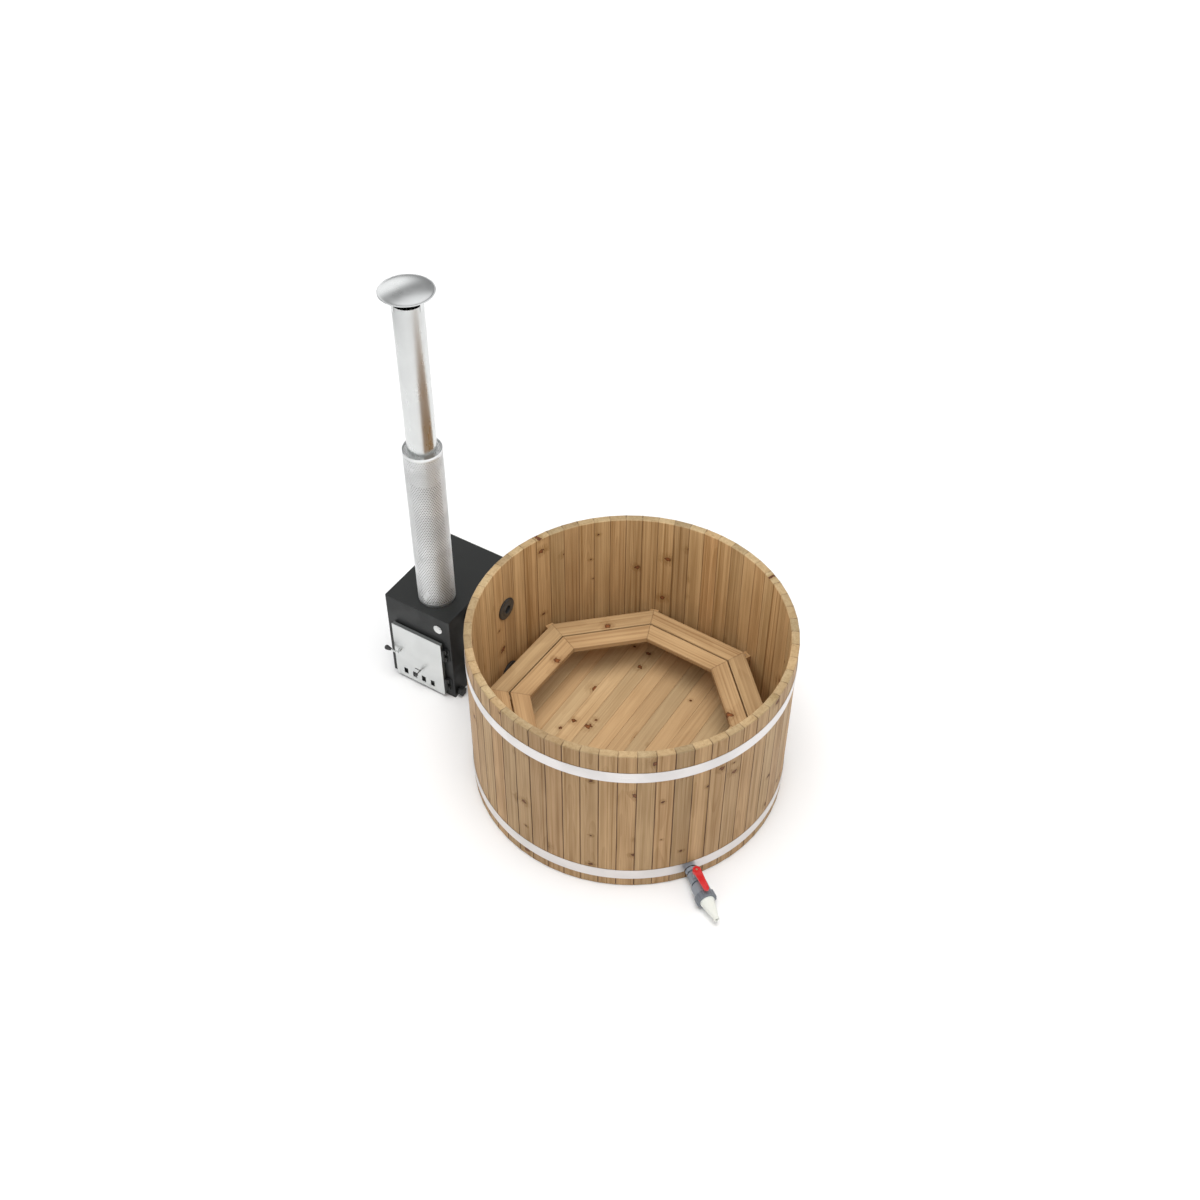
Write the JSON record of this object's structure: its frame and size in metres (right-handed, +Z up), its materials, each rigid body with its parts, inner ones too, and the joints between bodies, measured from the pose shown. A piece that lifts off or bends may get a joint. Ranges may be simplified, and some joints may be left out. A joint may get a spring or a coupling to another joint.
{
  "type": "wooden hot tub",
  "caption": "Round stave soaking tub with bench and drain valve, heated by a wood stove beside it through two water hoses.",
  "frame": {"origin": "middle of the underside of the middle floor bearer, on the ground and on the tub's axis", "axes": "+Z up along the tub's axis; the stove stands on the -X side, and its door faces -Y"},
  "size_m": [2.3728, 1.6429, 2.54],
  "materials": {
    "stave_wood": "oiled softwood, satin",
    "floor_wood": "planed softwood, satin",
    "bearer_wood": "sawn softwood, matt",
    "bench_wood": "planed softwood, satin",
    "hoop_steel": "bright rolled stainless",
    "plated_steel": "zinc plated",
    "black_plastic": "matt moulded",
    "rubber": "matt",
    "stainless": "fine brushed",
    "grey_pvc": "moulded, satin",
    "dark_pvc": "moulded, satin",
    "white_plastic": "moulded, satin",
    "red_plastic": "moulded, glossy",
    "stove_paint": "heat-resistant satin paint",
    "fire_steel": "mill scale, matt",
    "door_steel": "brushed stainless",
    "liner_board": "mineral board, matt",
    "rope_seal": "woven glass rope",
    "flue_steel": "polished stainless",
    "guard_steel": "perforated stainless sheet",
    "cap_steel": "satin stainless"
  },
  "bodies": {
    "root": {"wall_staves": "stave_wood", "bored_staves": "stave_wood", "floor_boards": "floor_wood", "floor_bearers": "bearer_wood", "upper_hoop": "hoop_steel", "lower_hoop": "hoop_steel", "hoop_lugs": "hoop_steel", "hoop_rods": "plated_steel", "hoop_nuts": "plated_steel", "bench_inner_boards": "bench_wood", "bench_outer_boards": "bench_wood", "bench_rails": "bearer_wood", "bench_legs": "bearer_wood", "bench_screws": "plated_steel", "wall_flanges": "black_plastic", "wall_gaskets": "rubber", "wall_nuts": "black_plastic", "hoses": "rubber", "hose_clamps": "plated_steel", "drain_strainer": "stainless", "drain_flange": "stainless", "drain_sump": "grey_pvc", "drain_pipe": "grey_pvc", "drain_bush": "rubber", "drain_nut": "grey_pvc", "valve_body": "grey_pvc", "valve_seats": "white_plastic", "valve_tailpiece": "grey_pvc", "valve_union_nut": "dark_pvc", "hose_nozzle": "white_plastic", "stove_casing": "stove_paint", "stove_top_plate": "stove_paint", "stove_front_panel": "stove_paint", "firebox": "fire_steel", "fire_grate": "fire_steel", "baffle_plate": "fire_steel", "flue_collar": "fire_steel", "pipe_stubs": "stove_paint", "jacket_plug": "stove_paint", "round_plate": "stainless", "hinge_brackets": "stove_paint", "hinge_pins": "plated_steel", "lower_flue": "flue_steel", "upper_flue": "flue_steel", "heat_guard": "guard_steel", "guard_spacers": "guard_steel", "rain_cap": "cap_steel"},
    "door": {"hinge_arms": "stove_paint", "door_face": "door_steel", "door_box": "fire_steel", "door_liner": "liner_board", "door_gasket": "rope_seal"},
    "latch": {"latch_lever": "door_steel", "latch_knob": "black_plastic", "latch_hook": "fire_steel"},
    "damper": {"air_damper": "fire_steel", "damper_knob": "black_plastic"},
    "drain_valve": {"valve_ball": "stainless", "valve_stem": "stainless", "valve_lever": "red_plastic"}
  },
  "joints": [
    {"name": "door_hinge", "type": "hinge", "parent": "root", "child": "door", "pos_m": [-1.069, -0.163, 0.2], "axis": [0, 0, 1], "range_deg": [0, 120]},
    {"name": "latch_turn", "type": "hinge", "parent": "door", "child": "latch", "pos_m": [-1.369, -0.172, 0.217], "axis": [0, -1, 0], "range_deg": [0, 90]},
    {"name": "damper_slide", "type": "slide", "parent": "door", "child": "damper", "axis": [-1, 0, 0], "range_m": [0, 0.03]},
    {"name": "valve_turn", "type": "hinge", "parent": "root", "child": "drain_valve", "pos_m": [0.70865, -0.53014, 0.06], "axis": [0, 0, 1], "range_deg": [0, 90]}
  ]
}
